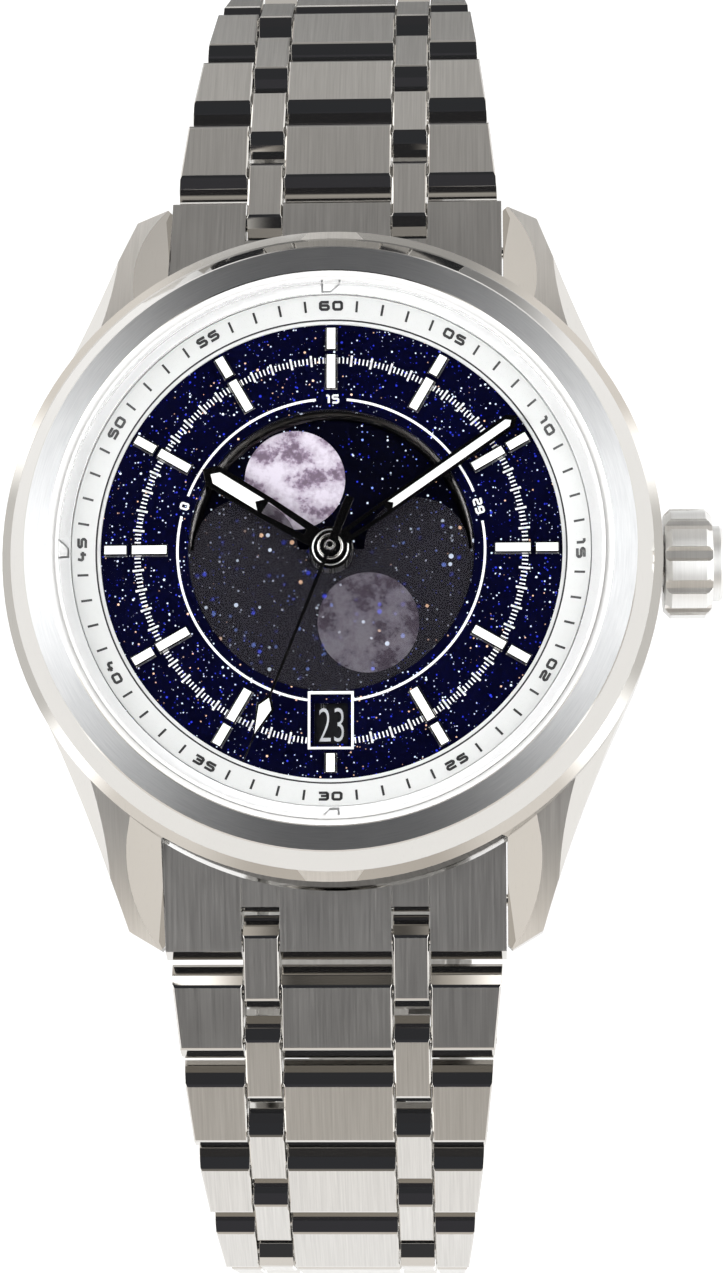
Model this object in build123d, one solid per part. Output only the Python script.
from build123d import *
import math
import os

# Moon phase wristwatch on a closed steel bracelet, in millimetres.
# The origin is the centre of the case back's flat face. +Z runs out through the dial,
# +Y points to 12 o'clock and +X to the crown.

os.makedirs("parts", exist_ok=True)

# Driving dimensions of the case
case_radius = 21.0
case_flare = 0.6
case_top_radius = case_radius - case_flare
case_base = 1.7
case_top = 10.0
case_lip = 0.45
case_foot_inset = 1.4
case_foot_radius = case_radius - case_foot_inset
case_foot_height = 1.3
bezel_top = 12.0
bezel_slope_run = 1.1
bezel_ring_width = 1.55
bezel_wall = 0.85
bezel_top_radius = case_top_radius - bezel_slope_run
bezel_inner_radius = bezel_top_radius - bezel_ring_width
bore_radius = bezel_inner_radius - bezel_wall
fit_gap = 0.02
running_gap = 0.05
part_gap = 0.1
overrun = 1.0

# Driving dimensions of the lugs and the spring bars between them
lug_width = 22.1
lug_length = 3.75
lug_reach = case_radius + lug_length
lug_shoulder_drop = 1.15
lug_shoulder_reach = lug_reach - lug_shoulder_drop
lug_shoulder_width = 26.6
lug_tip_inset = 0.3
lug_tip_top = 2.4
lug_tip_base = 0.75
lug_mid_inset = 3.7
lug_mid_reach = case_radius - lug_mid_inset
lug_mid_top = 7.0
lug_flank_inset = 5.0
lug_flank_reach = case_radius - lug_flank_inset
lug_flank_width = 31.8
lug_root_angle = 27.0
bar_offset = 0.55
bar_reach = case_radius + bar_offset
bar_height = 2.3
bar_radius = 0.75
bar_tip_radius = 0.4
bar_tip_length = 0.8

# Driving dimensions of the dial side
dial_radius = bore_radius - part_gap
dial_thickness = 0.4
dial_top = case_top
aperture_radius = 9.07
moon_disc_radius = 9.45
disc_thickness = 0.25
disc_gap = 0.15
hump_radius = 3.3
hump_offset = 5.4
date_reach = 10.9
date_width = 2.86
date_height = 3.65
date_line = 0.14

# Driving dimensions of the crown, whose axis is along +X
crown_axis_height = 4.4
crown_radius = 3.55
crown_offset = 0.25
crown_start = case_radius + crown_offset
crown_grip_length = 3.05
crown_cap_length = 0.75
crown_cap_radius = 2.45
crown_lobes = 10
stem_radius = 0.5

# Driving dimensions of the movement
movement_radius = 13.0
movement_ring_base = 2.3
mainplate_top = 8.9
mainplate_base = 6.2
bridge_base = 3.6
bridge_thickness = 0.6
wheel_thickness = 0.12
third_level = 4.5
seconds_wheel_level = 4.75
centre_level = 5.0
barrel_level = 5.3
barrel_tooth_height = 0.25

# Driving dimensions of the bracelet
pitch = 6.6
link_thickness = 3.0
centre_width = 7.16
narrow_width = 2.32
column_gap = 0.08
first_row_width = 21.4
row_width_step = 1.25
last_row_width = 16.0
pin_radius = 0.55
end_link_length = 2.9
first_pivot_reach = case_radius + end_link_length
first_pivot_height = 1.95
slopes_12 = (19.7, 31.6, 40.7, 57, 85, 114, 142, 161, 171)
slopes_6 = (19.7, 32, 48.5, 56, 85, 116, 147, 167)


def turned(points):
    """A solid of revolution about Z from (radius, height) points."""
    corners = [(radius, 0, height) for radius, height in points]
    return revolve(make_face(Polyline(*corners, close=True)), Axis.Z)


def ring(outer, inner, low, high):
    """A flat ring about Z between two heights."""
    return turned([(inner, low), (outer, low), (outer, high), (inner, high)])


def disc(radius, low, high):
    """A flat disc about Z between two heights."""
    return turned([(0, low), (radius, low), (radius, high), (0, high)])


def slab(sketch, low, high):
    """A flat sketch made a plate between two heights."""
    return Pos(0, 0, low) * extrude(sketch, high - low)


def block(width, depth, low, high):
    """A box centred on the Z axis between two heights."""
    return slab(Rectangle(width, depth), low, high)


def rod(radius, start, end, y=0, z=0, hole=0):
    """A round bar along X, or a tube if it has a hole."""
    outline = Circle(radius) - Circle(hole) if hole else Circle(radius)
    return Location((start, y, z), (0, 90, 0)) * extrude(outline, end - start)


def outline_face(points):
    """A flat face from corner points in XY."""
    return make_face(Polyline(*points, close=True))


def side_plate(points, width):
    """A plate across X from its outline of (y, z) points, centred on X."""
    corners = [(0, y, z) for y, z in points]
    return extrude(make_face(Polyline(*corners, close=True)), width / 2, dir=(1, 0, 0), both=True)


def cut_above(solid, first, second, third):
    """The solid without what lies above the plane through three points."""
    a, b, c = Vector(*first), Vector(*second), Vector(*third)
    normal = (b - a).cross(c - a)
    if normal.Z < 0:
        normal = normal * -1
    size = 4 * case_radius
    return solid - Plane(origin=a, z_dir=normal) * Pos(0, 0, size / 2) * Box(size, size, size)


def both_sides(solid):
    """The solid and its mirror image across the YZ plane."""
    return [solid, mirror(solid, Plane.YZ)]


def write(name, *solids):
    """Write one sub-part's file."""
    shape = solids[0] if len(solids) == 1 else Compound(children=list(solids))
    shape.label = name
    export_step(shape, f"parts/{name}.step")


def polar(distance, angle):
    """The place at a distance and an angle in degrees from the centre."""
    return distance * math.cos(math.radians(angle)), distance * math.sin(math.radians(angle))


gear_root_share = 1.15
gear_tip_share = 0.8
tooth_foot_share = 0.3
tooth_tip_share = 0.1


def gear_outline(teeth, module, phase=0):
    """A toothed outline whose first tooth points at the phase angle in degrees."""
    pitch_radius = teeth * module / 2
    root_radius = pitch_radius - gear_root_share * module
    tip_radius = pitch_radius + gear_tip_share * module
    corners = (
        (-tooth_foot_share, root_radius),
        (-tooth_tip_share, tip_radius),
        (tooth_tip_share, tip_radius),
        (tooth_foot_share, root_radius),
    )
    points = []
    for tooth in range(teeth):
        for share, radius in corners:
            points.append(polar(radius, phase + (tooth + share) * 360 / teeth))
    return outline_face(points)


# Lug, shaped from its plan and its side profile
lug_half = lug_width / 2
bevel_root_width = 26.0
bevel_root_inset = 3.8
bevel_root_reach = case_radius - bevel_root_inset
bevel_depth = 0.8
flank_end_inset = 1.8
flank_mid_inset = 8.0
flank_end_reach = case_radius - flank_end_inset
flank_mid_reach = case_radius - flank_mid_inset
flank_bevel_width = 0.95
flank_bevel_depth = 0.9
flank_slope_share = 0.39


def lug():
    """The lug beside +X and 12 o'clock, with its inner and outer bevels."""
    root = math.radians(lug_root_angle)
    wall_middle = (bore_radius + case_radius) / 2
    inner_root = (lug_half, math.sqrt(wall_middle ** 2 - lug_half ** 2))
    case_meet = (case_radius * math.cos(root), case_radius * math.sin(root))
    shoulder = (lug_shoulder_width / 2, lug_shoulder_reach)
    flank = (lug_flank_width / 2, lug_flank_reach)
    deep_root = (wall_middle * math.cos(root), wall_middle * math.sin(root))
    tip = (lug_half + lug_tip_inset, lug_reach)
    plan = make_face([
        Line(inner_root, (lug_half, lug_reach - lug_tip_inset)),
        Line((lug_half, lug_reach - lug_tip_inset), tip),
        Line(tip, shoulder),
        ThreePointArc(shoulder, flank, case_meet),
        Line(case_meet, deep_root),
        Line(deep_root, inner_root),
    ])
    start = case_meet[1] - overrun
    top_start, top_mid = (0, start, case_top - case_lip), (0, lug_mid_reach, lug_mid_top)
    top_end, base_end = (0, lug_reach, lug_tip_top), (0, lug_reach, lug_tip_base)
    base_mid = (0, lug_mid_reach, case_base)
    base_start = (0, start, case_base)
    side = make_face([
        ThreePointArc(top_start, top_mid, top_end),
        Line(top_end, base_end),
        Line(base_end, base_mid),
        Line(base_mid, base_start),
        Line(base_start, top_start),
    ])
    solid = extrude(plan, case_top) & extrude(side, 2 * case_radius, dir=(1, 0, 0))

    def top_at(reach):
        share = (reach - lug_mid_reach) / (lug_reach - lug_mid_reach)
        if reach < lug_mid_reach:
            share = (reach - lug_mid_reach) / (lug_mid_reach - start)
            return lug_mid_top - share * (case_top - case_lip - lug_mid_top)
        return lug_mid_top + share * (lug_tip_top - lug_mid_top)

    root_top = top_at(bevel_root_reach)
    solid = cut_above(
        solid,
        (bevel_root_width / 2, bevel_root_reach, root_top),
        (tip[0], tip[1], lug_tip_top),
        (lug_half, bevel_root_reach, root_top - bevel_depth),
    )
    flank_x = lug_flank_width / 2 + (lug_flank_reach - flank_mid_reach) * flank_slope_share
    flank_end_x = lug_flank_width / 2 - (flank_end_reach - lug_flank_reach) * flank_slope_share
    flank_top = top_at(flank_mid_reach)
    return cut_above(
        solid,
        (flank_end_x, flank_end_reach, top_at(flank_end_reach)),
        (flank_x - flank_bevel_width, flank_mid_reach, flank_top),
        (flank_x, flank_mid_reach, flank_top - flank_bevel_depth),
    )


# Case back, its window and the gaskets
back_inset = 0.8
back_radius = case_foot_radius - back_inset
back_edge = 0.3
back_skirt_top = 2.2
window_radius = 14.6
window_thickness = 1.3
window_ledge = 0.7
window_bevel = 0.15
gasket_offset = 0.45
gasket_width = 0.7
gasket_inner = bore_radius + gasket_offset
gasket_outer = gasket_inner + gasket_width
gasket_height = 0.4
notch_count = 6
notch_inset = 1.4
notch_radius = back_radius - notch_inset
notch_width = 2.0
notch_length = 1.5
notch_depth = 0.5

# Crystal, a dome on a short upright edge
crystal_offset = 0.65
crystal_radius = bezel_inner_radius - crystal_offset
crystal_seat = 11.0
crystal_edge = 12.15
crystal_bevel = 0.3
crystal_top = 13.6
crystal_inner_top = 12.3
crystal_edge_wall = 0.7
crystal_inner_radius = crystal_radius - crystal_edge_wall
crystal_inner_edge = 11.35
crystal_gasket_wall = 0.2
crystal_gasket_top = 12.0
bezel_ledge_radius = crystal_inner_radius + running_gap
bezel_bevel_drop = 0.3

# Crown tube and the hole that it stands in
tube_radius = 1.5
tube_bore = 0.75
tube_inset = 0.3
tube_proud = 1.0
tube_start = bore_radius + tube_inset
tube_end = case_radius + tube_proud


def mid_case():
    """The case middle with its four lugs, bored for the movement, the tube and the bars."""
    body = turned([
        (bore_radius, case_base),
        (case_foot_radius, case_base),
        (case_radius, case_base + case_foot_height),
        (case_radius, case_top - case_lip),
        (case_top_radius, case_top),
        (bore_radius, case_top),
    ])
    corner = lug()
    pair = [corner, mirror(corner, Plane.YZ)]
    for piece in pair:
        body = body + piece + mirror(piece, Plane.XZ)
    groove_top = case_base + gasket_height
    body = body - ring(gasket_outer + fit_gap, gasket_inner - fit_gap, case_base, groove_top)
    hole_start, hole_end = bore_radius - overrun, case_radius + overrun
    body = body - rod(tube_radius + fit_gap, hole_start, hole_end, z=crown_axis_height)
    for side in (1, -1):
        hole_end = lug_half + bar_tip_length + fit_gap
        body = body - rod(bar_tip_radius + fit_gap, -hole_end, hole_end, side * bar_reach, bar_height)
    return body


write("mid_case", mid_case())
write("bezel", turned([
    (bezel_ledge_radius, case_top),
    (case_top_radius, case_top),
    (bezel_top_radius, bezel_top),
    (bezel_inner_radius, bezel_top),
    (crystal_radius + crystal_gasket_wall + fit_gap, bezel_top - bezel_bevel_drop),
    (crystal_radius + crystal_gasket_wall + fit_gap, crystal_seat),
    (bezel_ledge_radius, crystal_seat),
]))


def dome_middle(radius, edge, top):
    """The point of a dome half way out from its top to its edge."""
    rise = top - edge
    sphere = (radius ** 2 + rise ** 2) / (2 * rise)
    return radius / 2, 0, top - sphere + math.sqrt(sphere ** 2 - (radius / 2) ** 2)


def crystal():
    """The domed crystal, thin enough inside to clear the hands."""
    dome_edge = (crystal_radius - crystal_bevel, 0, crystal_edge + crystal_bevel)
    inner_edge = (crystal_inner_radius, 0, crystal_inner_edge)
    outer_mid = dome_middle(dome_edge[0], dome_edge[2], crystal_top)
    inner_mid = dome_middle(crystal_inner_radius, crystal_inner_edge, crystal_inner_top)
    seat = (crystal_radius - fit_gap, 0, crystal_seat)
    edge = (crystal_radius - fit_gap, 0, crystal_edge)
    section = make_face([
        Line((crystal_inner_radius, 0, crystal_seat), seat),
        Line(seat, edge),
        Line(edge, dome_edge),
        ThreePointArc(dome_edge, outer_mid, (0, 0, crystal_top)),
        Line((0, 0, crystal_top), (0, 0, crystal_inner_top)),
        ThreePointArc((0, 0, crystal_inner_top), inner_mid, inner_edge),
        Line(inner_edge, (crystal_inner_radius, 0, crystal_seat)),
    ])
    return revolve(section, Axis.Z)


write("crystal", crystal())
write(
    "case_gaskets",
    ring(crystal_radius + crystal_gasket_wall, crystal_radius, crystal_seat, crystal_gasket_top),
    ring(gasket_outer, gasket_inner, case_base, case_base + gasket_height),
)


def case_back():
    """The screwed back ring with its window seat, skirt and six key notches."""
    ledge_radius = window_radius - window_ledge
    body = turned([
        (window_radius + fit_gap, 0),
        (back_radius - back_edge, 0),
        (back_radius, back_edge),
        (back_radius, case_base),
        (dial_radius, case_base),
        (dial_radius, back_skirt_top),
        (ledge_radius, back_skirt_top),
        (ledge_radius, window_thickness),
        (window_radius + fit_gap, window_thickness),
    ])
    for notch in range(notch_count):
        cutter = Pos(notch_radius, 0, 0) * block(notch_length, notch_width, -overrun, notch_depth)
        body = body - Rot(0, 0, notch * 360 / notch_count) * cutter
    return body


write("case_back", case_back())
write("back_window", turned([
    (0, 0),
    (window_radius - window_bevel, 0),
    (window_radius, window_bevel),
    (window_radius, window_thickness),
    (0, window_thickness),
]))
write("crown_tube", rod(tube_radius, tube_start, tube_end, z=crown_axis_height, hole=tube_bore))

# Movement holder ring, with a passage for the winding stem
holder_inner = movement_radius + running_gap
holder_outer = bore_radius - running_gap
stem_passage = stem_radius + 3 * part_gap
holder = ring(holder_outer, holder_inner, movement_ring_base, dial_top - dial_thickness)
holder = holder - rod(tube_radius + part_gap, tube_start - part_gap, case_radius, z=crown_axis_height)
write("movement_ring", holder - rod(stem_passage, 0, case_radius, z=crown_axis_height))


def spring_bar(reach):
    """A spring bar between two lugs, with its two thin tips."""
    body_half = lug_half - part_gap
    tip_end = lug_half + bar_tip_length
    bar = rod(bar_radius, -body_half, body_half, reach, bar_height)
    return bar + rod(bar_tip_radius, -tip_end, tip_end, reach, bar_height)


write("lug_bars", spring_bar(bar_reach), spring_bar(-bar_reach))

# Crown with its lobed grip and flat cap, on the winding stem
lobe_groove_width = 0.95
lobe_groove_depth = 0.42
crown_bevel = 0.42
cap_bevel = 0.2
recess_radius = 1.9
recess_depth = 1.6
stem_inner_end = 7.6
stem_seat_depth = 0.7


def crown():
    """The crown, with grooves between its lobes and a recess over the tube."""
    grip_end = crown_start + crown_grip_length
    cap_end = grip_end + crown_cap_length
    core = revolve(make_face(Polyline(
        (crown_start, 0, 0),
        (crown_start, 0, crown_radius - crown_bevel),
        (crown_start + crown_bevel, 0, crown_radius),
        (grip_end - crown_bevel, 0, crown_radius),
        (grip_end, 0, crown_radius - crown_bevel),
        (grip_end, 0, crown_cap_radius),
        (cap_end - cap_bevel, 0, crown_cap_radius),
        (cap_end, 0, crown_cap_radius - cap_bevel),
        (cap_end, 0, 0),
        close=True,
    )), Axis.X)
    groove_face = outline_face([
        (-lobe_groove_width / 2, crown_radius + overrun),
        (-lobe_groove_width / 2, crown_radius - lobe_groove_depth / 2),
        (-lobe_groove_width / 4, crown_radius - lobe_groove_depth),
        (lobe_groove_width / 4, crown_radius - lobe_groove_depth),
        (lobe_groove_width / 2, crown_radius - lobe_groove_depth / 2),
        (lobe_groove_width / 2, crown_radius + overrun),
    ])
    groove = Location((crown_start - overrun, 0, 0), (0, 90, 0)) * extrude(
        groove_face, crown_grip_length + overrun
    )
    for lobe in range(crown_lobes):
        core = core - Rot((lobe + 0.5) * 360 / crown_lobes, 0, 0) * groove
    core = core - rod(recess_radius, crown_start - overrun, crown_start + recess_depth)
    core = core - rod(stem_radius, crown_start, crown_start + recess_depth + stem_seat_depth)
    return Pos(0, 0, crown_axis_height) * core


stem_end = crown_start + recess_depth + stem_seat_depth
write("crown", crown())
write("winding_stem", rod(stem_radius, stem_inner_end, stem_end, z=crown_axis_height))

# Winding pinion, free to slide on the stem as the crown is pulled
winding_teeth = 12
winding_module = 0.14
winding_start = 9.2
winding_length = 1.3
winding_gear = gear_outline(winding_teeth, winding_module) - Circle(stem_radius + running_gap)
write("winding_pinion", Location((winding_start, 0, crown_axis_height), (0, 90, 0)) * extrude(
    winding_gear, winding_length
))

# Dial plate, round moon insert and the flange with the minute scale
mask_bevel = 0.6
mask_depth = 0.5
mask_edge = 0.1
mask_plate = 0.25
mask_drop = 0.03
centre_hole = 1.05
flange_radius = crystal_inner_radius
flange_inner = 14.6
flange_step_radius = 14.85
flange_step = 0.12
flange_height = 0.8
dial_low = dial_top - dial_thickness
window_cut = Pos(0, -date_reach) * Rectangle(date_width + 2 * fit_gap, date_height + 2 * fit_gap)
write("dial", slab(Circle(dial_radius) - Circle(aperture_radius) - window_cut, dial_low, dial_top))


def moon_mask():
    """The smoked plate with two humps over the lower moon, and the bevelled rim above it."""
    radius = aperture_radius - 2 * fit_gap
    top = dial_top - mask_drop
    lower_half = Circle(radius) & Pos(0, -radius) * Rectangle(2 * radius, 2 * radius)
    humps = Pos(hump_offset, 0) * Circle(hump_radius) + Pos(-hump_offset, 0) * Circle(hump_radius)
    outline = lower_half + (humps & Circle(radius))
    rim = turned([
        (radius, dial_low),
        (radius, top),
        (radius - mask_edge, top),
        (radius - mask_bevel, top - mask_depth + mask_edge),
        (radius - mask_bevel, top - mask_depth),
        (radius - mask_edge, top - mask_depth),
    ])
    rim = rim - slab(outline, dial_low - mask_depth, dial_top)
    return slab(outline - Circle(centre_hole), top - mask_plate, top), rim


write("moon_mask", *moon_mask())
write("minute_flange", turned([
    (flange_inner, dial_top),
    (flange_inner, dial_top + flange_step),
    (flange_step_radius, dial_top + flange_step),
    (flange_radius, dial_top + flange_height),
    (flange_radius, dial_top),
]))
date_outer = Pos(0, -date_reach) * Rectangle(date_width, date_height)
date_inner = Pos(0, -date_reach) * Rectangle(date_width - 2 * date_line, date_height - 2 * date_line)
date_frame_rise = 0.06
write("date_frame", slab(date_outer - date_inner, dial_low, dial_top + date_frame_rise))

# Applied hour batons, in two lengths on one line
baton_width = 0.87
baton_height = 0.3
baton_taper = 35
baton_inner = (10.3, 12.65)
baton_outer = (12.87, 14.4)
six_baton = (12.96, 14.25)


hours = 12


def baton(span, hour):
    """One bevelled baton from its inner to its outer radius."""
    length = span[1] - span[0]
    bar = extrude(Rectangle(baton_width, length), baton_height, taper=baton_taper)
    middle = (span[0] + span[1]) / 2
    return Rot(0, 0, -hour * 360 / hours) * Pos(0, middle, dial_top) * bar


half_day = hours // 2
batons = [baton(six_baton, half_day)]
for hour in range(hours):
    if hour != half_day:
        batons += [baton(baton_inner, hour), baton(baton_outer, hour)]
write("hour_indices", *batons)

# Moon disc on its post, and the toothed date ring around it
moon_teeth = 118
date_teeth = 31
post_radius = 1.4
date_inner_radius = 9.75
date_outer_radius = 12.6
date_tooth_depth = 0.3
disc_low = mainplate_top + disc_gap
moon_module = 2 * moon_disc_radius / (moon_teeth + 2 * gear_tip_share)
moon_outline = gear_outline(moon_teeth, moon_module) - Circle(post_radius + running_gap)
write("moon_disc", slab(moon_outline, disc_low, disc_low + disc_thickness))


def date_disc():
    """The date ring, with 31 driving notches inside."""
    outline = Circle(date_outer_radius) - Circle(date_inner_radius)
    notch = Pos(date_inner_radius, 0) * Rectangle(2 * date_tooth_depth, date_tooth_depth)
    for tooth in range(date_teeth):
        outline = outline - Rot(0, 0, tooth * 360 / date_teeth) * notch
    return slab(outline, disc_low, disc_low + disc_thickness)


write("date_disc", date_disc())

# Hands, each pointing up the Y axis before it is turned to its hour
hour_angle = -302.1
minute_angle = -54.8
seconds_angle = 158.4
hour_rise, minute_rise, seconds_rise, pin_rise = 0.5, 0.8, 1.1, 1.85
hour_level = dial_top + hour_rise
minute_level = dial_top + minute_rise
seconds_level = dial_top + seconds_rise
hand_thickness = 0.15
seconds_thickness = 0.1
hour_length = 9.6
minute_length = 14.5
seconds_length = 14.7
hour_pipe, hour_bore = 0.9, 0.63
minute_pipe, minute_bore = 0.58, 0.3
seconds_arbor = 0.25
centre_pinion_top = barrel_level + barrel_tooth_height
seconds_arbor_low = seconds_wheel_level + wheel_thickness
pin_top = dial_top + pin_rise
minute_pipe_top = seconds_level - running_gap
lume_thickness = 0.1


def hand_outline(length, width, root_width, hub, point):
    """A long hand's outline with a round hub and a pointed tip."""
    body = outline_face([
        (-root_width / 2, 0),
        (-width / 2, length / 2),
        (-width / 2, length - point),
        (0, length),
        (width / 2, length - point),
        (width / 2, length / 2),
        (root_width / 2, 0),
    ])
    return body + Circle(hub)


def lume_outline(start, end, width, point):
    """A lume strip, notched where it starts and pointed like the tip."""
    return outline_face([
        (-width / 2, start),
        (-width / 2, end - point),
        (0, end),
        (width / 2, end - point),
        (width / 2, start),
        (0, start + width / 2),
    ])


def skeleton_outline(start, end, start_width, end_width):
    """The open window between the hub and the lume."""
    return outline_face([
        (-start_width / 2, start),
        (-end_width / 2, end),
        (end_width / 2, end),
        (start_width / 2, start),
    ])


# Hour hand with its pipe, and its lume
hour_width, hour_root_width, hour_hub, hour_point = 1.5, 1.2, 1.35, 0.75
hour_lume_start, hour_lume_end, hour_lume_width, hour_lume_point = 5.2, 9.0, 0.85, 0.45
hour_open_start, hour_open_end, hour_open_root, hour_open_width = 1.9, 4.9, 0.35, 0.85
hour_lume_shape = lume_outline(hour_lume_start, hour_lume_end, hour_lume_width, hour_lume_point)
hour_shape = hand_outline(hour_length, hour_width, hour_root_width, hour_hub, hour_point)
hour_shape = hour_shape - skeleton_outline(hour_open_start, hour_open_end, hour_open_root, hour_open_width)
hour_shape = hour_shape - hour_lume_shape - Circle(hour_bore)
hour_hand = slab(hour_shape, hour_level, hour_level + hand_thickness)
hour_hand = hour_hand + ring(hour_pipe, hour_bore, disc_low, hour_level + hand_thickness)
write("hour_hand", Rot(0, 0, hour_angle) * hour_hand)
hour_lume = slab(hour_lume_shape, hour_level, hour_level + lume_thickness)
write("hour_lume", Rot(0, 0, hour_angle) * hour_lume)

# Minute hand with its pipe, and its lume
minute_width, minute_root_width, minute_hub, minute_point = 0.95, 0.9, 0.95, 0.6
minute_lume_start, minute_lume_end, minute_lume_width, minute_lume_point = 4.6, 14.0, 0.52, 0.3
minute_open_start, minute_open_end, minute_open_root, minute_open_width = 1.5, 4.3, 0.3, 0.5
minute_lume_shape = lume_outline(minute_lume_start, minute_lume_end, minute_lume_width, minute_lume_point)
minute_shape = hand_outline(minute_length, minute_width, minute_root_width, minute_hub, minute_point)
minute_shape = minute_shape - skeleton_outline(
    minute_open_start, minute_open_end, minute_open_root, minute_open_width
)
minute_shape = minute_shape - minute_lume_shape - Circle(minute_bore)
minute_hand = slab(minute_shape, minute_level, minute_level + hand_thickness)
minute_hand = minute_hand + ring(minute_pipe, minute_bore, centre_pinion_top, minute_pipe_top)
write("minute_hand", Rot(0, 0, minute_angle) * minute_hand)
minute_lume = slab(minute_lume_shape, minute_level, minute_level + lume_thickness)
write("minute_lume", Rot(0, 0, minute_angle) * minute_lume)

# Seconds hand with its tail, its lozenge and the polished pin on its arbor
seconds_width, seconds_tip_width, seconds_hub = 0.26, 0.1, 0.42
tail_length, tail_width = 3.4, 0.55
lozenge_start, lozenge_end, lozenge_width, lozenge_waist = 10.7, 13.0, 0.85, 11.5
pin_radius_top = 0.2


def seconds_hand():
    """The thin seconds hand, pressed on the long arbor of its wheel."""
    needle = outline_face([
        (-seconds_width / 2, 0),
        (-seconds_tip_width / 2, seconds_length),
        (seconds_tip_width / 2, seconds_length),
        (seconds_width / 2, 0),
    ])
    lozenge = outline_face([
        (0, lozenge_start),
        (-lozenge_width / 2, lozenge_waist),
        (0, lozenge_end),
        (lozenge_width / 2, lozenge_waist),
    ])
    tail = Pos(0, -tail_length / 2) * Rectangle(tail_width, tail_length)
    blade_top = seconds_level + seconds_thickness
    blade = slab(needle + lozenge + tail + Circle(seconds_hub), seconds_level, blade_top)
    arbor = disc(seconds_arbor, seconds_arbor_low, blade_top)
    return blade + arbor + disc(pin_radius_top, seconds_level, pin_top)


write("seconds_hand", Rot(0, 0, seconds_angle) * seconds_hand())

# Mainplate: a thick plate on a rim, with the post that carries the moon disc
rim_inner = 11.9
rim_low = bridge_base + bridge_thickness
post_top = disc_low + disc_thickness + fit_gap
pivot_radius = 0.15
pivot_sink = 0.2
centre_bore = 0.65
date_wall = 12.7
date_wall_top = disc_low + disc_thickness
stem_boss_start, stem_boss_length, stem_boss_width, stem_boss_low = 6.9, 2.1, 2.0, 3.7


def mainplate():
    """The plate that the train, the stem and the calendar discs are built on."""
    body = turned([
        (centre_bore, mainplate_base),
        (rim_inner, mainplate_base),
        (rim_inner, rim_low),
        (movement_radius, rim_low),
        (movement_radius, date_wall_top),
        (date_wall, date_wall_top),
        (date_wall, mainplate_top),
        (post_radius, mainplate_top),
        (post_radius, post_top),
        (hour_pipe + running_gap, post_top),
        (hour_pipe + running_gap, mainplate_top),
        (centre_bore, mainplate_top),
    ])
    boss = block(stem_boss_length, stem_boss_width, stem_boss_low, mainplate_base)
    boss = Pos(stem_boss_start + stem_boss_length / 2, 0, 0) * boss
    body = body + boss - rod(stem_radius + running_gap, 0, rim_inner, z=crown_axis_height)
    body = body - rod(stem_passage, rim_inner - overrun, case_radius, z=crown_axis_height)
    for x, y, radius in plate_holes:
        hole = disc(radius + running_gap, mainplate_base - overrun, mainplate_base + pivot_sink + fit_gap)
        body = body - Pos(x, y, 0) * hole
    return body


# Gear train: barrel, centre, third, seconds and escape wheels at their meshing distances
barrel_teeth, barrel_module, barrel_angle = 90, 0.11, 110
centre_pinion_teeth = 12
centre_teeth, third_pinion_teeth, centre_module, third_angle = 80, 10, 0.085, 200
third_teeth, seconds_pinion_teeth = 75, 10
seconds_teeth, escape_pinion_teeth, seconds_module = 96, 8, 0.07
escape_teeth, escape_radius, escape_angle = 20, 2.1, 270
barrel_drum_radius = 4.6
barrel_drum_top = 6.1
barrel_arbor_radius = 0.8
pivot_low = rim_low + part_gap / 2
pivot_high = mainplate_base - part_gap / 2
mesh_overlap = 0.04


barrel_distance = (barrel_teeth + centre_pinion_teeth) * barrel_module / 2
third_distance = (centre_teeth + third_pinion_teeth) * centre_module / 2
third_module = 2 * third_distance / (third_teeth + seconds_pinion_teeth)
escape_distance = (seconds_teeth + escape_pinion_teeth) * seconds_module / 2
barrel_x, barrel_y = polar(barrel_distance, barrel_angle)
third_x, third_y = polar(third_distance, third_angle)
escape_x, escape_y = polar(escape_distance, escape_angle)


def spoked(outline, hub, rim, arms, arm_width):
    """A wheel outline with its web cut away between the arms."""
    window = Circle(rim) - Circle(hub)
    for arm in range(arms):
        window = window - Rot(0, 0, arm * 360 / arms) * (Pos(rim / 2, 0) * Rectangle(rim, arm_width))
    return outline - window


def at(x, y, solid):
    """The solid moved to its place in the plane of the movement."""
    return Pos(x, y, 0) * solid


barrel_phase = barrel_angle + 180 + 180 / barrel_teeth
barrel = slab(
    gear_outline(barrel_teeth, barrel_module, barrel_phase), barrel_level, barrel_level + barrel_tooth_height
)
barrel = barrel + disc(barrel_drum_radius, barrel_level, barrel_drum_top)
barrel = barrel + disc(barrel_arbor_radius, barrel_level, pivot_high)
barrel = barrel + disc(pivot_radius, pivot_low, pivot_high + pivot_sink)
write("barrel", at(barrel_x, barrel_y, barrel))

# Centre wheel, on the pipe that carries the minute hand
wheel_rim_share, wheel_hub_share, arm_width = 0.82, 0.3, 0.35
wheel_arms = 4
centre_rim = centre_teeth * centre_module / 2
centre_outline = spoked(
    gear_outline(centre_teeth, centre_module, third_angle), centre_rim * wheel_hub_share,
    centre_rim * wheel_rim_share, wheel_arms, arm_width,
)
centre_wheel = slab(centre_outline - Circle(minute_bore), centre_level, centre_level + wheel_thickness)
centre_pinion = gear_outline(centre_pinion_teeth, barrel_module, barrel_angle) - Circle(minute_bore)
write("centre_wheel", centre_wheel + slab(centre_pinion, centre_level, centre_pinion_top))

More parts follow.
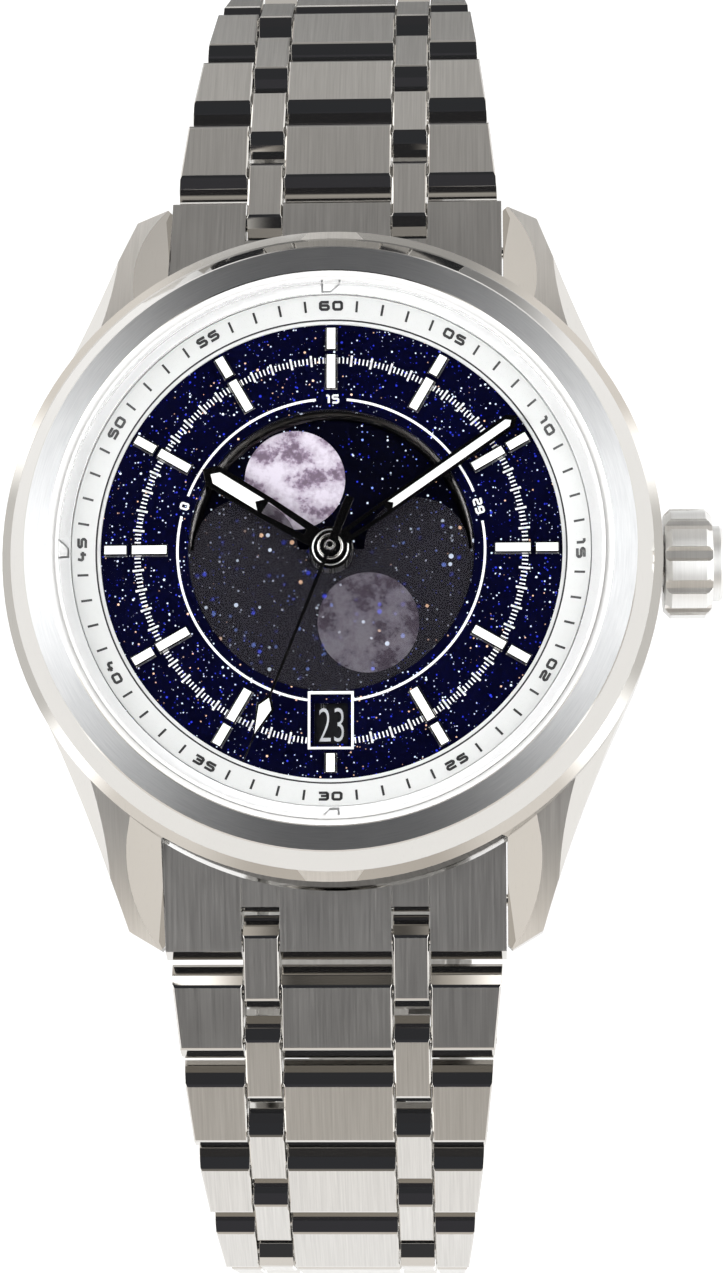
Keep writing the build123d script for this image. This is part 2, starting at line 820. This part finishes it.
# Third wheel and its pinion
third_rim = third_teeth * third_module / 2
third_gear = gear_outline(third_teeth, third_module, third_angle + 180)
third_hub, third_edge = third_rim * wheel_hub_share, third_rim * wheel_rim_share
third_outline = spoked(third_gear, third_hub, third_edge, wheel_arms, arm_width)
third_wheel = slab(third_outline, third_level, third_level + wheel_thickness)
third_pinion_phase = third_angle + 180 + 180 / third_pinion_teeth
third_pinion = gear_outline(third_pinion_teeth, centre_module, third_pinion_phase)
third_wheel = third_wheel + slab(third_pinion, centre_level - mesh_overlap, centre_level + wheel_thickness)
third_wheel = third_wheel + disc(pivot_radius, pivot_low, pivot_high + pivot_sink)
write("third_wheel", at(third_x, third_y, third_wheel))

# Seconds wheel and its pinion, under the seconds hand's arbor
seconds_rim = seconds_teeth * seconds_module / 2
seconds_outline = spoked(
    gear_outline(seconds_teeth, seconds_module, escape_angle), seconds_rim * wheel_hub_share,
    seconds_rim * wheel_rim_share, wheel_arms, arm_width,
)
seconds_wheel = slab(seconds_outline, seconds_wheel_level, seconds_wheel_level + wheel_thickness)
seconds_pinion_phase = third_angle + 180 / seconds_pinion_teeth
seconds_pinion = gear_outline(seconds_pinion_teeth, third_module, seconds_pinion_phase)
seconds_wheel = seconds_wheel + slab(seconds_pinion, third_level - mesh_overlap, seconds_wheel_level)
seconds_wheel = seconds_wheel + disc(pivot_radius, pivot_low, seconds_wheel_level)
write("seconds_wheel", seconds_wheel)

# Escape wheel with raked teeth, and its pinion
escape_low, escape_high = 5.35, 5.47
escape_root_share, escape_heel_share = 0.78, 0.35


def escape_outline():
    """The escape wheel's outline of raked, pointed teeth."""
    step = 360 / escape_teeth
    points = []
    for tooth in range(escape_teeth):
        for share, radius in ((0, escape_radius * escape_root_share), (escape_heel_share, escape_radius)):
            x, y = polar(radius, (tooth + share) * step)
            points.append((x, y))
    return outline_face(points)


escape_hub = escape_radius * wheel_hub_share
escape_web = escape_radius * escape_root_share * wheel_rim_share
escape_open = spoked(escape_outline(), escape_hub, escape_web, wheel_arms, arm_width / 2)
escape_wheel = slab(escape_open, escape_low, escape_high)
escape_pinion_phase = escape_angle + 180 + 180 / escape_pinion_teeth
escape_pinion = gear_outline(escape_pinion_teeth, seconds_module, escape_pinion_phase)
escape_pinion_top = seconds_arbor_low + mesh_overlap
escape_wheel = escape_wheel + slab(escape_pinion, seconds_wheel_level - mesh_overlap, escape_pinion_top)
escape_wheel = escape_wheel + disc(pivot_radius, pivot_low, pivot_high + pivot_sink)
write("escape_wheel", at(escape_x, escape_y, escape_wheel))

# Pallet fork and balance, on a line that leads away from the escape wheel
fork_angle = -25
fork_distance = 2.75
fork_arm_length = 2.3
fork_arm_width = 0.3
fork_span = 1.55
fork_stone_reach = 0.55
fork_notch = 0.22
balance_distance = 3.0
balance_radius = 3.5
balance_rim_width = 0.5
balance_low, balance_high = 4.55, 4.85
balance_arm_width = 0.4
staff_radius = 0.18
roller_radius = 0.5
roller_low, roller_high = 5.15, 5.25
impulse_offset, impulse_radius = 0.36, 0.07
fork_x = escape_x + polar(fork_distance, fork_angle)[0]
fork_y = escape_y + polar(fork_distance, fork_angle)[1]
balance_x = fork_x + polar(balance_distance, fork_angle)[0]
balance_y = fork_y + polar(balance_distance, fork_angle)[1]
balance_angle = math.degrees(math.atan2(balance_y, balance_x))
balance_reach = math.hypot(balance_x, balance_y)


def pallet_fork():
    """The fork with its two stones by the escape wheel and its notch by the roller."""
    bar = Rectangle(fork_arm_width, 2 * fork_span)
    lever = Pos(fork_arm_length / 2, 0) * Rectangle(fork_arm_length, fork_arm_width)
    outline = bar + lever + Circle(fork_arm_width)
    for side in (1, -1):
        stone = Pos(-fork_stone_reach / 2, side * (fork_span - fork_arm_width / 2))
        outline = outline + stone * Rectangle(fork_stone_reach, fork_arm_width)
        horn = Pos(fork_arm_length, side * fork_notch) * Rectangle(fork_arm_width, fork_notch)
        outline = outline + horn
    arbor = disc(pivot_radius, balance_high + part_gap, pivot_high + pivot_sink)
    fork = slab(outline, escape_low, escape_high) + arbor
    return at(fork_x, fork_y, Rot(0, 0, fork_angle) * fork)


def balance_wheel():
    """The balance with its rim, two arms, staff, roller and impulse pin."""
    rim = Circle(balance_radius) - Circle(balance_radius - balance_rim_width)
    arms = Rectangle(2 * balance_radius - balance_rim_width, balance_arm_width)
    wheel = slab(rim + arms + Circle(balance_arm_width), balance_low, balance_high)
    staff = disc(staff_radius, rim_low - pivot_sink, pivot_high + pivot_sink)
    roller = disc(roller_radius, roller_low, roller_high)
    pin = Pos(-impulse_offset, 0, 0) * disc(impulse_radius, roller_high, escape_high)
    return at(balance_x, balance_y, Rot(0, 0, fork_angle) * (wheel + staff + roller + pin))


spring_turns = 4
spring_start, spring_pitch, spring_thickness = 0.5, 0.55, 0.08
spring_low, spring_high = 4.25, 4.42
spring_steps = 24


def hairspring():
    """A flat spiral from the collet on the staff out to its stud."""
    inner, outer = [], []
    for step in range(spring_turns * spring_steps + 1):
        turn = step / spring_steps
        angle = turn * 360
        radius = spring_start + turn * spring_pitch
        inner.append(polar(radius - spring_thickness / 2, angle))
        outer.append(polar(radius + spring_thickness / 2, angle))
    collet = Circle(spring_start) - Circle(staff_radius + running_gap)
    spiral = outline_face(outer + inner[::-1])
    stud_reach = spring_start + spring_turns * spring_pitch
    stud = Pos(stud_reach, 0, 0) * disc(pivot_radius, rim_low, spring_high)
    spring = slab(collet + spiral, spring_low, spring_high) + stud
    return at(balance_x, balance_y, Rot(0, 0, balance_angle) * spring)


write("pallet_fork", pallet_fork())
write("balance_wheel", balance_wheel())
write("hairspring", hairspring())
plate_holes = (
    (barrel_x, barrel_y, pivot_radius),
    (third_x, third_y, pivot_radius),
    (escape_x, escape_y, pivot_radius),
    (fork_x, fork_y, pivot_radius),
    (balance_x, balance_y, staff_radius),
)
write("mainplate", mainplate())

# Bridges over the train and the balance, seated on the rim
bridge_radius = 12.6
bridge_notch_width = 2.6
bridge_notch_start = 6.6
cock_width = 2.6
cock_gap = 0.2
rotor_post_radius = 0.9
rotor_post_low = 2.75
jewel_radius = 0.45
jewel_sink = 0.1
bridge_top = bridge_base + bridge_thickness


def cock_outline():
    """The outline of the balance cock, from over the staff out to the rim."""
    length = bridge_radius - balance_reach
    arm = Pos(balance_reach + length / 2, 0) * Rectangle(length, cock_width)
    arm = arm + Pos(balance_reach, 0) * Circle(cock_width / 2)
    return (Rot(0, 0, balance_angle) * arm) & Circle(bridge_radius)


def train_bridge():
    """The large bridge, open over the balance and notched for the stem."""
    outline = Circle(bridge_radius)
    outline = outline - Pos(balance_x, balance_y) * Circle(balance_radius + cock_gap)
    length = bridge_radius - balance_reach + overrun
    gap = Pos(balance_reach + length / 2, 0) * Rectangle(length, 2 * (balance_radius + cock_gap))
    outline = outline - Rot(0, 0, balance_angle) * gap
    notch_length = bridge_radius - bridge_notch_start + overrun
    notch = Pos(bridge_notch_start + notch_length / 2, 0) * Rectangle(notch_length, bridge_notch_width)
    outline = outline - notch
    body = slab(outline, bridge_base, bridge_top) + disc(rotor_post_radius, rotor_post_low, bridge_base)
    for x, y in ((barrel_x, barrel_y), (third_x, third_y), (escape_x, escape_y)):
        body = body - at(x, y, disc(jewel_radius, bridge_base, bridge_base + jewel_sink))
    return body


write("train_bridge", train_bridge())
cock = slab(cock_outline(), bridge_base, bridge_top)
write("balance_cock", cock - at(balance_x, balance_y, disc(
    staff_radius + running_gap, rim_low - pivot_sink - fit_gap, rim_low
)))

# Winding rotor: a half disc with a heavy rim, on a ball race round the post
rotor_radius = 12.4
rotor_rim_width = 1.7
rotor_plate_low, rotor_plate_high = 2.8, 3.3
rotor_rim_low = 2.45
rotor_hub_radius = 1.9
rotor_window_shares = (0.35, 0.78)


def rotor():
    """The half-round rotor, with windows beside its arms and a thicker rim."""
    half = Pos(0, -rotor_radius) * Rectangle(2 * rotor_radius, 2 * rotor_radius)
    plate = (Circle(rotor_radius) & half) + Circle(rotor_hub_radius)
    near, far = (share * rotor_radius for share in rotor_window_shares)
    window = (Circle(far) - Circle(near)) & half
    for angle in (0, -60, -120, -180):
        arm = Pos(far / 2, 0) * Rectangle(far, 2 * rotor_hub_radius)
        window = window - Rot(0, 0, angle) * arm
    rim = (Circle(rotor_radius) - Circle(rotor_radius - rotor_rim_width)) & half
    body = slab(plate - window, rotor_plate_low, rotor_plate_high)
    body = body + slab(rim, rotor_rim_low, rotor_plate_high)
    return body - disc(rotor_post_radius + running_gap, rotor_rim_low, bridge_base)


write("rotor", rotor())

# Bracelet link: wide pieces in one row, narrow pieces half a pitch nearer the case
flat_half = 2.1
shoulder_half = 2.72
shoulder_drop = 0.6
edge_chamfer = 0.1
row_gap = 0.3
round_radius = (pitch / 2 - row_gap) / 2
link_half = link_thickness / 2
pin_step = pitch / 4
centre_half = centre_width / 2
narrow_start = centre_half + column_gap
narrow_end = narrow_start + narrow_width
outer_start = narrow_end + column_gap


def link_profile(middle):
    """One piece's side outline: flat top, sloped shoulders, round ends and flat base."""
    end_half = pin_step + round_radius
    return [
        (middle - flat_half, link_half),
        (middle + flat_half, link_half),
        (middle + shoulder_half, link_half - shoulder_drop),
        (middle + end_half, 0),
        (middle + shoulder_half, shoulder_drop - link_half),
        (middle + flat_half, -link_half),
        (middle - flat_half, -link_half),
        (middle - shoulder_half, shoulder_drop - link_half),
        (middle - end_half, 0),
        (middle - shoulder_half, link_half - shoulder_drop),
    ]


def softened(piece):
    """The piece with a fine chamfer round its top face."""
    top = piece.faces().sort_by(Axis.Z)[-1]
    return chamfer(top.edges(), edge_chamfer)


def column(start_near, start_far, end_near, end_far, middle):
    """A wide or narrow piece between two X limits at its near and far ends."""
    reach = pitch
    plan = outline_face([
        (start_near, middle - reach / 2),
        (end_near, middle - reach / 2),
        (end_far, middle + reach / 2),
        (start_far, middle + reach / 2),
    ])
    full = side_plate(link_profile(middle), 2 * first_row_width)
    return softened(full & Pos(0, 0, -link_thickness) * extrude(plan, 2 * link_thickness))


def link(near_width, far_width):
    """One link in its own frame: Y leads away from the case and Z faces out."""
    near_half, far_half = near_width / 2, far_width / 2
    pin_half = (near_half + far_half) / 2 - edge_chamfer
    holes = [rod(pin_radius, -lug_width, lug_width, side * pin_step) for side in (1, -1)]
    passing = rod(pin_radius + running_gap, -lug_width, lug_width, pin_step - pitch)
    wide = [column(-centre_half, -centre_half, centre_half, centre_half, 0)]
    wide += both_sides(column(outer_start, outer_start, near_half, far_half, 0))
    narrow = both_sides(column(narrow_start, narrow_start, narrow_end, narrow_end, -pitch / 2))
    pieces = [piece - holes[0] - holes[1] for piece in wide]
    pieces += [piece - passing - holes[1] for piece in narrow]
    pins = [rod(pin_radius, -pin_half, pin_half, side * pin_step) for side in (1, -1)]
    return pieces + pins


def side_place(pivot, slope):
    """The place of a 12 o'clock link whose pivot and slope are given."""
    lead = 3 * pin_step
    y = pivot[0] + lead * math.cos(math.radians(slope))
    z = pivot[1] - lead * math.sin(math.radians(slope))
    return Location((0, y, z), (-slope, 0, 0))


def row_width(row):
    """The bracelet's width at a row's near edge."""
    return max(first_row_width - row * row_width_step, last_row_width)


def write_side(name, slopes, side):
    """Write one half of the bracelet and return its last pivot."""
    pivot = (first_pivot_reach, first_pivot_height)
    for row, slope in enumerate(slopes):
        place = side_place(pivot, slope)
        pieces = [place * piece for piece in link(row_width(row), row_width(row + 1))]
        if side < 0:
            pieces = [mirror(piece, Plane.XZ) for piece in pieces]
        write(f"{name}_{row + 1}", *pieces)
        print(name, row + 1, "pivot y", round(side * pivot[0], 4), "z", round(pivot[1], 4), "slope", slope)
        angle = math.radians(slope)
        pivot = (pivot[0] + pitch * math.cos(angle), pivot[1] - pitch * math.sin(angle))
    print(name, "last pivot y", round(side * pivot[0], 4), "z", round(pivot[1], 4))
    return pivot


end_12 = write_side("link_12", slopes_12, 1)
end_6 = write_side("link_6", slopes_6, -1)

# End links, which follow the case's curve and take the first narrow pieces
end_link_gap = 0.12
end_link_slope = 18.5
end_link_start = 16.5
end_link_groove = 0.09


def end_link():
    """The end link at 12 o'clock, concave against the case, with two open slots."""
    slope = math.tan(math.radians(end_link_slope))
    y, z = first_pivot_reach, first_pivot_height
    run = y - end_link_start
    tilt = math.radians(end_link_slope)
    out = (math.sin(tilt) * link_half, math.cos(tilt) * link_half)
    lip = round_radius
    outline = [
        (y - run, z + out[1] + run * slope),
        (y + out[0] + pin_radius * math.cos(tilt), z + out[1] - pin_radius * math.sin(tilt)),
        (y + lip * math.cos(tilt), z - lip * math.sin(tilt) + shoulder_drop),
        (y + lip * math.cos(tilt), z - lip * math.sin(tilt)),
        (y, z - out[1]),
        (y - run, z - out[1] + part_gap),
    ]
    half = lug_half - part_gap
    body = side_plate(outline, 2 * half)
    body = body - disc(case_radius + end_link_gap, 0, bezel_top)
    clearance = pitch / 2 - pin_step + row_gap / 2
    slot_start = y - clearance
    for side in (1, -1):
        for edge in (centre_half, narrow_end):
            groove = Pos(side * (edge + column_gap / 2), 0, 0) * side_plate(
                [(py, pz - end_link_groove) for py, pz in outline[:2]]
                + [(py, pz + overrun) for py, pz in outline[1::-1]], column_gap,
            )
            body = body - groove
        slot_centre = side * (narrow_start + narrow_width / 2)
        slot = Pos(slot_centre, slot_start + run / 2, 0) * block(
            narrow_width + 2 * column_gap, run, -link_thickness, bezel_top
        )
        body = body - slot
    body = body - rod(pin_radius, -lug_width, lug_width, y, z)
    return body - rod(bar_radius + fit_gap, -lug_width, lug_width, bar_reach, bar_height)


end_pin = rod(pin_radius, -lug_half + part_gap, lug_half - part_gap, first_pivot_reach, first_pivot_height)
write("end_link_12", end_link(), end_pin)
write("end_link_6", mirror(end_link(), Plane.XZ), mirror(end_pin, Plane.XZ))

# Folding clasp, laid out along the line between the two last pivots
clasp_span = math.hypot(end_12[0] + end_6[0], end_12[1] - end_6[1])
clasp_tilt = math.degrees(math.atan2(end_12[1] - end_6[1], end_12[0] + end_6[0]))
hinge_radius = 0.95
hinge_pin_radius = 0.35
cover_hinge_at = 3.6
blade_hinge_inset = 4.54
blade_hinge_at = clasp_span - blade_hinge_inset
blade_width = 13.2
knuckle_half = 2.8
long_blade_base, long_blade_top = -2.1, -1.35
short_blade_half = 0.4
cover_low, cover_edge, cover_crown = 1.15, 1.95, 2.75
cover_width = 17.0
cover_wall = 0.9
cover_wall_base = -1.0
cover_end_inset = 2.2
cover_start = cover_hinge_at + 0.5
ear_radius = 1.3
ear_width = 2.16
hinge_gap = 0.15
pusher_share = 0.48
pusher_at = pusher_share * clasp_span
pusher_radius = 1.4
pusher_flange_radius = 1.7
pusher_flange = 0.25
pusher_proud = 0.6


def clasp_place(solid):
    """The solid moved from the clasp's frame, where Y runs to 6 o'clock and Z faces out."""
    return Location((0, end_12[0], end_12[1]), (180 + clasp_tilt, 0, 0)) * solid


def ear(x_middle):
    """An ear round the last link's pin, reaching back to the blade."""
    body = rod(ear_radius, x_middle - ear_width / 2, x_middle + ear_width / 2)
    arm = side_plate([
        (0, -ear_radius),
        (0, 0),
        (ear_radius, 0),
        (cover_hinge_at - hinge_radius - hinge_gap, long_blade_top),
        (cover_hinge_at - hinge_radius - hinge_gap, long_blade_base),
        (ear_radius, long_blade_base),
    ], ear_width)
    return body + Pos(x_middle, 0, 0) * arm


def long_blade():
    """The inner blade, pinned to the last 12 o'clock link."""
    start = ear_radius + row_gap
    central_end = blade_hinge_at - hinge_radius - hinge_gap
    plate = side_plate([
        (start, long_blade_base),
        (start, long_blade_top),
        (central_end, long_blade_top),
        (central_end, long_blade_base),
    ], blade_width)
    web_width = blade_width / 2 - knuckle_half - hinge_gap
    web_middle = knuckle_half + hinge_gap + web_width / 2
    for side in (1, -1):
        ear_x = side * (narrow_start + narrow_width / 2)
        plate = plate + ear(ear_x)
        web = side_plate([
            (central_end - hinge_radius, long_blade_base),
            (central_end - hinge_radius, long_blade_top),
            (central_end, -short_blade_half - hinge_gap),
            (blade_hinge_at, 0),
            (blade_hinge_at, -hinge_radius),
            (central_end, long_blade_base),
        ], web_width)
        knuckle = rod(hinge_radius, -web_width / 2, web_width / 2, blade_hinge_at)
        plate = plate + Pos(side * web_middle, 0, 0) * (web + knuckle)
    plate = plate - rod(pin_radius + running_gap, -lug_width, lug_width)
    return plate - rod(hinge_pin_radius, -lug_width, lug_width, blade_hinge_at)


def short_blade():
    """The middle blade, with a central knuckle at each end."""
    start = cover_hinge_at + hinge_radius + hinge_gap
    end = blade_hinge_at - hinge_radius - hinge_gap
    half = short_blade_half
    wide = side_plate([(start, -half), (start, half), (end, half), (end, -half)], blade_width)
    neck = side_plate([
        (cover_hinge_at, -half),
        (cover_hinge_at, half),
        (blade_hinge_at, half),
        (blade_hinge_at, -half),
    ], 2 * knuckle_half)
    body = wide + neck
    for place in (cover_hinge_at, blade_hinge_at):
        body = body + rod(hinge_radius, -knuckle_half, knuckle_half, place)
    for place in (cover_hinge_at, blade_hinge_at):
        body = body - rod(hinge_pin_radius + running_gap, -lug_width, lug_width, place)
    return body


def clasp_cover():
    """The arched cover with its side walls, hinge knuckles and two ears for the last link."""
    end = clasp_span - cover_end_inset
    middle = (cover_start + end) / 2
    inner_rise = cover_crown - cover_edge
    section = make_face([
        Line((0, cover_start, cover_low), (0, cover_start, cover_edge)),
        ThreePointArc((0, cover_start, cover_edge), (0, middle, cover_crown), (0, end, cover_edge)),
        Line((0, end, cover_edge), (0, end, cover_low)),
        ThreePointArc((0, end, cover_low), (0, middle, cover_low + inner_rise), (0, cover_start, cover_low)),
    ])
    plate = extrude(section, cover_width / 2, dir=(1, 0, 0), both=True)
    wall_face = make_face([
        Line((0, cover_start, cover_wall_base), (0, cover_start, cover_edge)),
        ThreePointArc((0, cover_start, cover_edge), (0, middle, cover_crown), (0, end, cover_edge)),
        Line((0, end, cover_edge), (0, end, cover_wall_base)),
        Line((0, end, cover_wall_base), (0, cover_start, cover_wall_base)),
    ])
    wall = extrude(wall_face, cover_wall, dir=(1, 0, 0))
    wall_hole = rod(pusher_radius + running_gap, 0, cover_width, pusher_at)
    body = plate
    for piece in both_sides(Pos(cover_width / 2 - cover_wall, 0, 0) * wall - wall_hole):
        body = body + piece
    web_width = blade_width / 2 - knuckle_half - hinge_gap
    web_middle = knuckle_half + hinge_gap + web_width / 2
    for side in (1, -1):
        knuckle = rod(hinge_radius, -web_width / 2, web_width / 2, cover_hinge_at)
        web = side_plate([
            (cover_hinge_at, 0),
            (cover_start, cover_low + part_gap),
            (cover_hinge_at + 2 * hinge_radius, cover_low + part_gap),
            (cover_hinge_at + hinge_radius, short_blade_half + hinge_gap),
        ], web_width)
        body = body + Pos(side * web_middle, 0, 0) * (knuckle + web)
        arm = side_plate([
            (end - overrun, cover_low),
            (end - overrun, cover_edge - part_gap),
            (end, cover_edge - part_gap),
            (end + overrun, shoulder_drop),
            (end + overrun, -shoulder_drop),
            (end, -shoulder_drop),
        ], ear_width)
        body = body + Pos(side * (narrow_start + narrow_width / 2), 0, 0) * arm
    return body - rod(hinge_pin_radius, -lug_width, lug_width, cover_hinge_at)


def hinge_pin(place):
    """A pin across the blades."""
    return rod(hinge_pin_radius, -blade_width / 2, blade_width / 2, place)


def pusher():
    """The push button at +X, held behind the wall by its flange."""
    wall_inner = cover_width / 2 - cover_wall
    shank = rod(pusher_radius, wall_inner - pusher_flange, cover_width / 2 + pusher_proud, pusher_at)
    flange_end = wall_inner - 2 * fit_gap
    return shank + rod(pusher_flange_radius, flange_end - pusher_flange, flange_end, pusher_at)


write("clasp_cover", clasp_place(clasp_cover()), clasp_place(hinge_pin(cover_hinge_at)))
write("long_blade", clasp_place(long_blade()), clasp_place(hinge_pin(blade_hinge_at)))
write("short_blade", clasp_place(short_blade()))
write("pusher_right", clasp_place(pusher()))
write("pusher_left", clasp_place(mirror(pusher(), Plane.YZ)))
